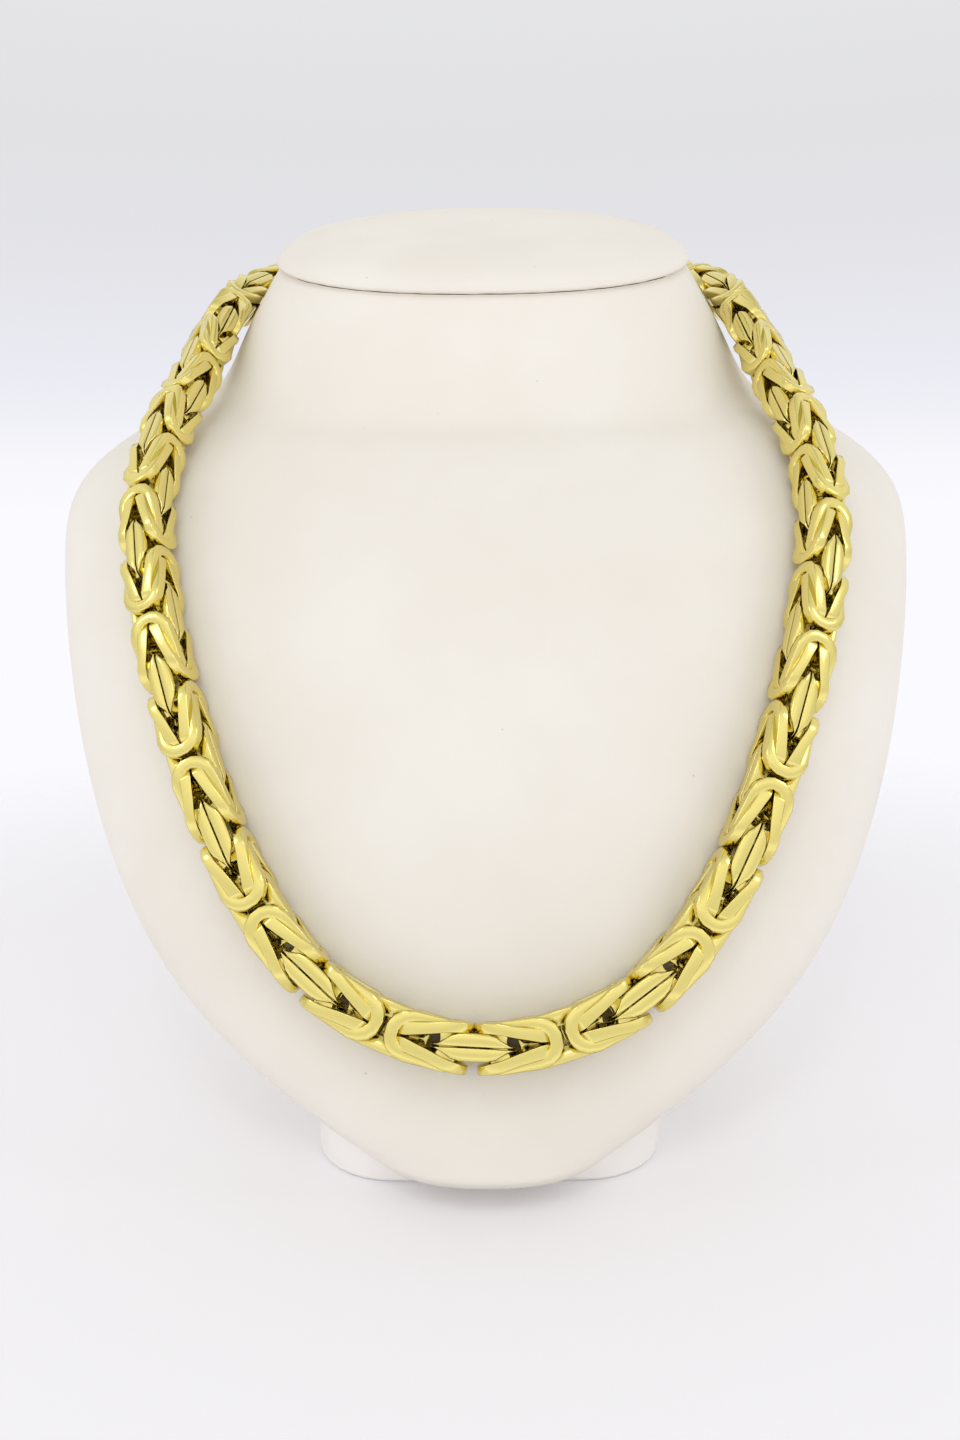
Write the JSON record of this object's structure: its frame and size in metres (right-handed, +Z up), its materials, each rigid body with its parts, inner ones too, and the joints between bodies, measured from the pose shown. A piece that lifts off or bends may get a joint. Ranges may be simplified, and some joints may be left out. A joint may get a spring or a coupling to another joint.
{
  "type": "byzantine chain on a neck bust",
  "caption": "Square byzantine link chain worn as a closed necklace on a leatherette neck bust with a flat foot",
  "frame": {"origin": "centre of the overall footprint, on the surface that the foot stands on", "axes": "+Z up, -Y towards the viewer, out of the chest, +X to the viewer's right"},
  "size_m": [0.1772, 0.1614, 0.1856],
  "materials": {
    "gold": "polished yellow gold",
    "leatherette": "cream leatherette with a fine grain",
    "foot_leatherette": "cream leatherette with a fine grain"
  },
  "bodies": {
    "root": {"chain_left": "gold", "chain_right": "gold", "clasp": "gold", "bust_body": "leatherette", "bust_cap": "leatherette", "bust_foot": "foot_leatherette"}
  },
  "joints": []
}
